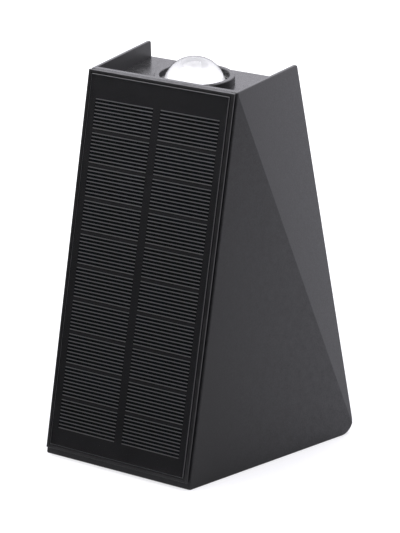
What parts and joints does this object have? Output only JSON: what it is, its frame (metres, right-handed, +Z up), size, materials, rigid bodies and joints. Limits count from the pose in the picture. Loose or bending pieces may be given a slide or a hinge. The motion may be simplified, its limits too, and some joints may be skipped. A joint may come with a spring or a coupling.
{
  "type": "solar wall light",
  "caption": "Black wedge-shaped solar wall light with a sloping solar panel, folded sides, clear dome lenses facing up and down, a push button underneath and keyhole fixing.",
  "frame": {"origin": "on the wall face, midway between the entry holes of the two keyholes", "axes": "+X to the right seen from the front, +Y into the wall, +Z up"},
  "size_m": [0.1298, 0.085, 0.16],
  "materials": {
    "housing_plastic": "fine satin grain, black",
    "frame_plastic": "satin, black",
    "screw_steel": "bright zinc",
    "seal_rubber": "matte, black",
    "panel_board": "black",
    "solar_silicon": "near-black cells with grey grid lines",
    "clear_glaze": "clear, bevelled edge",
    "clear_lens": "clear, polished",
    "white_reflector": "white, glossy",
    "led_board_metal": "white solder mask on aluminium",
    "led_phosphor": "yellow phosphor",
    "circuit_board": "green solder mask",
    "component_black": "moulded, black",
    "capacitor_can": "satin",
    "battery_can": "shrink-wrapped, blue",
    "holder_plastic": "matte, black",
    "contact_spring_steel": "nickel plated",
    "switch_plastic": "satin, black",
    "nut_plastic": "matte, black",
    "button_plastic": "semi-gloss, black",
    "wire_sleeve": "soft sleeve, black"
  },
  "bodies": {
    "light": {"back_cover": "housing_plastic", "back_seal": "seal_rubber", "battery": "battery_can", "battery_contacts": "contact_spring_steel", "battery_holder": "holder_plastic", "battery_wires": "wire_sleeve", "capacitor": "capacitor_can", "control_board": "circuit_board", "control_chip": "component_black", "control_screws": "screw_steel", "cover_screws": "screw_steel", "holder_screws": "screw_steel", "housing": "housing_plastic", "inductor": "component_black", "lower_led": "led_phosphor", "lower_led_board": "led_board_metal", "lower_led_screws": "screw_steel", "lower_led_wires": "wire_sleeve", "lower_lens": "clear_lens", "lower_lens_gasket": "seal_rubber", "lower_reflector": "white_reflector", "panel_wires": "wire_sleeve", "return_dome": "seal_rubber", "solar_adhesive": "seal_rubber", "solar_board": "panel_board", "solar_cells": "solar_silicon", "solar_frame": "frame_plastic", "solar_glaze": "clear_glaze", "switch_body": "switch_plastic", "switch_nut": "nut_plastic", "switch_washer": "seal_rubber", "switch_wires": "wire_sleeve", "upper_led": "led_phosphor", "upper_led_board": "led_board_metal", "upper_led_screws": "screw_steel", "upper_led_wires": "wire_sleeve", "upper_lens": "clear_lens", "upper_lens_gasket": "seal_rubber", "upper_reflector": "white_reflector"},
    "button": {"power_button": "button_plastic"}
  },
  "joints": [
    {"name": "button_press", "type": "slide", "parent": "light", "child": "button", "axis": [0, 0, 1], "range_m": [0, 0.002], "stiffness_N_per_m": 500, "springref_m": -0.002, "deforming": ["return_dome"]}
  ]
}
